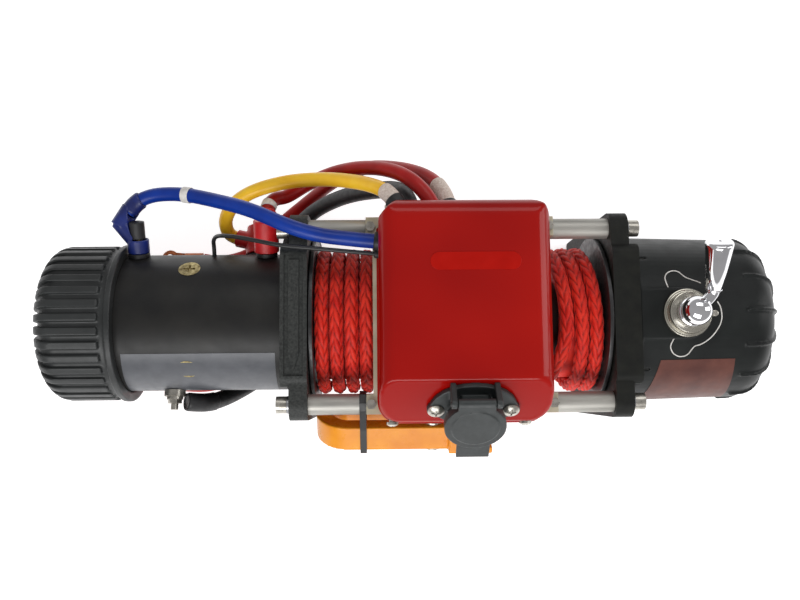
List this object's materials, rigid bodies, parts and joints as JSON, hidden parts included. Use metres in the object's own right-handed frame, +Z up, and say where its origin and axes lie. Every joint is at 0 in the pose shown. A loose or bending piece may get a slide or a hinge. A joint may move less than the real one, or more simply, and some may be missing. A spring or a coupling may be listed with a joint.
{
  "type": "electric recovery winch",
  "caption": "Electric recovery winch: series motor, rope drum, planetary gearbox with clutch lever, tie bars, control box with remote socket, leads and clevis hook",
  "frame": {"origin": "centre of the rectangle of four foot bolts, on the mounting face", "axes": "+X along the drum towards the gearbox, +Z up from the mounting face, -Y to the side where the rope is led off"},
  "size_m": [0.5991, 0.2465, 0.2117],
  "materials": {
    "painted_black": "satin black paint",
    "support_black": "textured black powder coat",
    "drum_black": "black paint",
    "cast_alloy": "as cast",
    "tie_bar_steel": "satin",
    "bright_steel": "bright",
    "spring_steel": "plain",
    "yellow_zinc": "zinc plated",
    "gear_steel": "machined",
    "motor_iron": "plain",
    "copper": "plain",
    "bronze": "machined",
    "chrome": "polished",
    "cap_black": "moulded, satin",
    "black_plastic": "moulded",
    "black_rubber": "matt",
    "red_cover": "gloss",
    "red_cable": "smooth jacket",
    "blue_cable": "smooth jacket",
    "yellow_cable": "smooth jacket",
    "boot_rubber": "matt",
    "red_rope": "braided",
    "hook_orange": "gloss paint"
  },
  "bodies": {
    "frame": {"motor_end_cap": "cap_black", "motor_housing": "painted_black", "motor_end_bell": "cast_alloy", "end_screws": "bright_steel", "pole_screws": "yellow_zinc", "pole_shoes": "motor_iron", "field_coils": "copper", "brush_gear": "black_plastic", "bronze_bushes": "bronze", "terminal_insulators": "black_plastic", "terminal_studs": "yellow_zinc", "earth_stud": "bright_steel", "motor_drum_support": "support_black", "gear_drum_support": "support_black", "front_tie_bar": "tie_bar_steel", "rear_tie_bar": "tie_bar_steel", "tie_bar_screws": "bright_steel", "spring_washers": "spring_steel", "gear_housing": "painted_black", "gear_housing_screws": "bright_steel", "ring_gear": "gear_steel", "input_stages": "gear_steel", "clutch_collar": "chrome", "clutch_spring": "spring_steel", "control_box_cover": "red_cover", "control_box_base": "yellow_zinc", "bracket_bolts": "yellow_zinc", "cover_screws": "bright_steel", "contactor": "black_plastic", "socket_body": "black_plastic", "socket_contacts": "bronze", "blue_lead": "blue_cable", "yellow_lead": "yellow_cable", "red_lead": "red_cable", "earth_lead": "black_rubber", "sensor_wire": "black_rubber", "battery_lead": "red_cable", "battery_lead_hank": "red_cable", "battery_ring_terminal": "copper", "rope_tail": "red_rope", "rope_thimble": "bright_steel", "clevis_hook": "hook_orange", "hook_pins": "bright_steel", "zip_tie": "black_plastic", "lead_boots": "boot_rubber"},
    "drum_assembly": {"drum": "drum_black", "rope_core": "red_rope", "rope_winding": "red_rope", "brake_pads": "black_plastic", "planet_carrier": "gear_steel"},
    "planet_1": {"planet_gear_1": "gear_steel"},
    "planet_2": {"planet_gear_2": "gear_steel"},
    "planet_3": {"planet_gear_3": "gear_steel"},
    "sun": {"sun_gear": "gear_steel"},
    "rotor": {"armature": "motor_iron", "drive_shaft": "gear_steel"},
    "lever": {"clutch_lever": "chrome"},
    "pin": {"clutch_pin": "bright_steel"},
    "cap": {"socket_cap": "black_rubber"},
    "latch": {"hook_latch": "bright_steel"}
  },
  "joints": [
    {"name": "drum_spin", "type": "hinge", "parent": "frame", "child": "drum_assembly", "pos_m": [0, 0, 0.09], "axis": [1, 0, 0], "continuous": true},
    {"name": "planet_1_spin", "type": "hinge", "parent": "drum_assembly", "child": "planet_1", "pos_m": [0.15475, 0, 0.12375], "axis": [1, 0, 0], "continuous": true},
    {"name": "planet_2_spin", "type": "hinge", "parent": "drum_assembly", "child": "planet_2", "pos_m": [0.15475, -0.02923, 0.07312], "axis": [1, 0, 0], "continuous": true},
    {"name": "planet_3_spin", "type": "hinge", "parent": "drum_assembly", "child": "planet_3", "pos_m": [0.15475, 0.02923, 0.07312], "axis": [1, 0, 0], "continuous": true},
    {"name": "sun_spin", "type": "hinge", "parent": "frame", "child": "sun", "pos_m": [0.16, 0, 0.09], "axis": [1, 0, 0], "continuous": true},
    {"name": "motor_spin", "type": "hinge", "parent": "frame", "child": "rotor", "pos_m": [-0.21, 0, 0.09], "axis": [1, 0, 0], "continuous": true},
    {"name": "clutch_lever_turn", "type": "hinge", "parent": "frame", "child": "lever", "pos_m": [0.172, -0.001, 0.17], "axis": [0, 0, 1], "range_deg": [-180, 0]},
    {"name": "clutch_pin_lift", "type": "slide", "parent": "frame", "child": "pin", "axis": [0, 0, 1], "range_m": [0, 0.0065], "deforming": ["clutch_spring"]},
    {"name": "socket_cap_hinge", "type": "hinge", "parent": "frame", "child": "cap", "pos_m": [0.005, -0.06677, 0.20544], "axis": [1, 0, 0], "range_deg": [-100, 0]},
    {"name": "hook_latch_hinge", "type": "hinge", "parent": "frame", "child": "latch", "pos_m": [-0.021, -0.09, 0.11886], "axis": [0, -0.866, -0.5], "range_deg": [-24, 0], "stiffness_Nm_per_rad": 0.05, "springref_deg": 17.19}
  ],
  "couplings": [
    {"joint": "planet_1_spin", "follows": "drum_spin", "ratio": -2.8},
    {"joint": "planet_2_spin", "follows": "drum_spin", "ratio": -2.8},
    {"joint": "planet_3_spin", "follows": "drum_spin", "ratio": -2.8},
    {"joint": "sun_spin", "follows": "drum_spin", "ratio": 4.5},
    {"joint": "clutch_pin_lift", "follows": "clutch_lever_turn", "m_per_rad": -0.002069}
  ]
}
